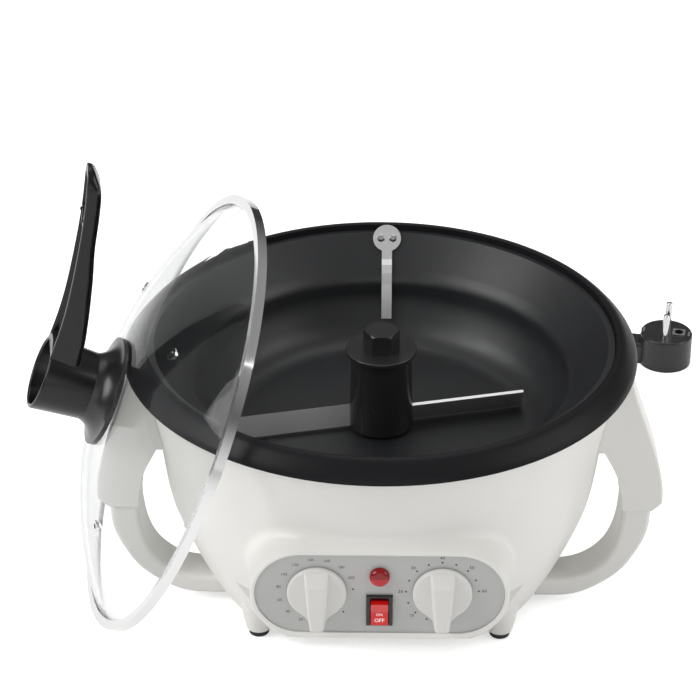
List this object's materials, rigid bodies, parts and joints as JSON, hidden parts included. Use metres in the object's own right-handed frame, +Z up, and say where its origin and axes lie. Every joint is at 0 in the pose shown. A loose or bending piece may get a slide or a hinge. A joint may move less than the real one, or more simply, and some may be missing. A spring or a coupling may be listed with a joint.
{
  "type": "home coffee bean roaster",
  "caption": "White countertop coffee bean roaster with black non-stick pan, stirrer, side handles, dial control pod, power cord and a lift-off glass dome lid.",
  "frame": {"origin": "on the roasting pan axis at worktop level, in the plane the four rubber feet stand on", "axes": "+Z up along the pan axis, -Y towards the control pod and the user, +X to the user's right"},
  "size_m": [0.4372, 0.439, 0.2909],
  "materials": {
    "white_plastic": "glossy",
    "collar_black": "satin",
    "nonstick": "satin non-stick coating",
    "rubber": "matt",
    "stainless": "brushed",
    "bright_steel": "polished",
    "dark_steel": "dull oxide",
    "bronze": "machined",
    "black_plastic": "glossy",
    "plate_grey": "satin",
    "dial_white": "glossy",
    "inner_plastic": "matt",
    "lamp_red": "clear red",
    "rocker_red": "glossy",
    "clear_glass": "clear tempered",
    "cord_black": "satin"
  },
  "bodies": {
    "roaster": {"housing": "white_plastic", "base_tray": "white_plastic", "foot_fl": "rubber", "foot_fr": "rubber", "foot_rl": "rubber", "foot_rr": "rubber", "handle_right": "white_plastic", "handle_cap_right": "white_plastic", "handle_left": "white_plastic", "handle_cap_left": "white_plastic", "collar": "collar_black", "roasting_pan": "nonstick", "shaft_bush": "bronze", "heat_reflector": "stainless", "heating_element": "dark_steel", "thermal_cutout": "dark_steel", "motor_bridge": "stainless", "gear_case": "dark_steel", "motor": "stainless", "bean_baffle": "stainless", "baffle_rivet_left": "bright_steel", "baffle_rivet_right": "bright_steel", "control_plate": "plate_grey", "thermostat": "inner_plastic", "timer": "inner_plastic", "lamp": "lamp_red", "switch_case": "black_plastic", "terminal_block": "inner_plastic", "cord_gland": "cord_black", "cord_lead": "cord_black", "cord_tail": "cord_black", "cord_coil": "cord_black", "cord_tie": "black_plastic", "plug_body": "black_plastic", "plug_pin_left": "bright_steel", "plug_pin_right": "bright_steel", "earth_clip_inner": "bright_steel", "earth_clip_outer": "bright_steel", "earth_contact": "bright_steel"},
    "stirrer": {"drive_shaft": "bright_steel", "stirrer_hub": "black_plastic", "stirrer_disc": "black_plastic", "hex_cap": "black_plastic", "stirrer_arm_a": "stainless", "stirrer_arm_b": "stainless"},
    "thermostat_dial": {"thermostat_spindle": "bright_steel", "thermostat_knob": "dial_white"},
    "timer_dial": {"timer_spindle": "bright_steel", "timer_knob": "dial_white"},
    "power_rocker": {"rocker": "rocker_red"},
    "lid": {"lid_glass": "clear_glass", "lid_band": "bright_steel", "lid_vent_top": "bright_steel", "lid_vent_low": "bright_steel", "lid_vent_side": "bright_steel", "lid_handle_base": "black_plastic", "lid_handle": "black_plastic", "lid_screw": "bright_steel"}
  },
  "joints": [
    {"name": "stirrer_spin", "type": "hinge", "parent": "roaster", "child": "stirrer", "pos_m": [0, 0, 0.12], "axis": [0, 0, 1], "continuous": true},
    {"name": "thermostat_turn", "type": "hinge", "parent": "roaster", "child": "thermostat_dial", "pos_m": [-0.0354, -0.1417, 0.0823], "axis": [0, 1, 0], "range_deg": [0, 300]},
    {"name": "timer_turn", "type": "hinge", "parent": "roaster", "child": "timer_dial", "pos_m": [0.0354, -0.1417, 0.0823], "axis": [0, 1, 0], "range_deg": [0, 270]},
    {"name": "rocker_tip", "type": "hinge", "parent": "roaster", "child": "power_rocker", "pos_m": [0, -0.1403, 0.0702], "axis": [-1, 0, 0], "range_deg": [0, 14]},
    {"name": "lid_lift", "type": "slide", "parent": "roaster", "child": "lid", "axis": [0, 0, 1], "range_m": [0, 0.2]}
  ]
}
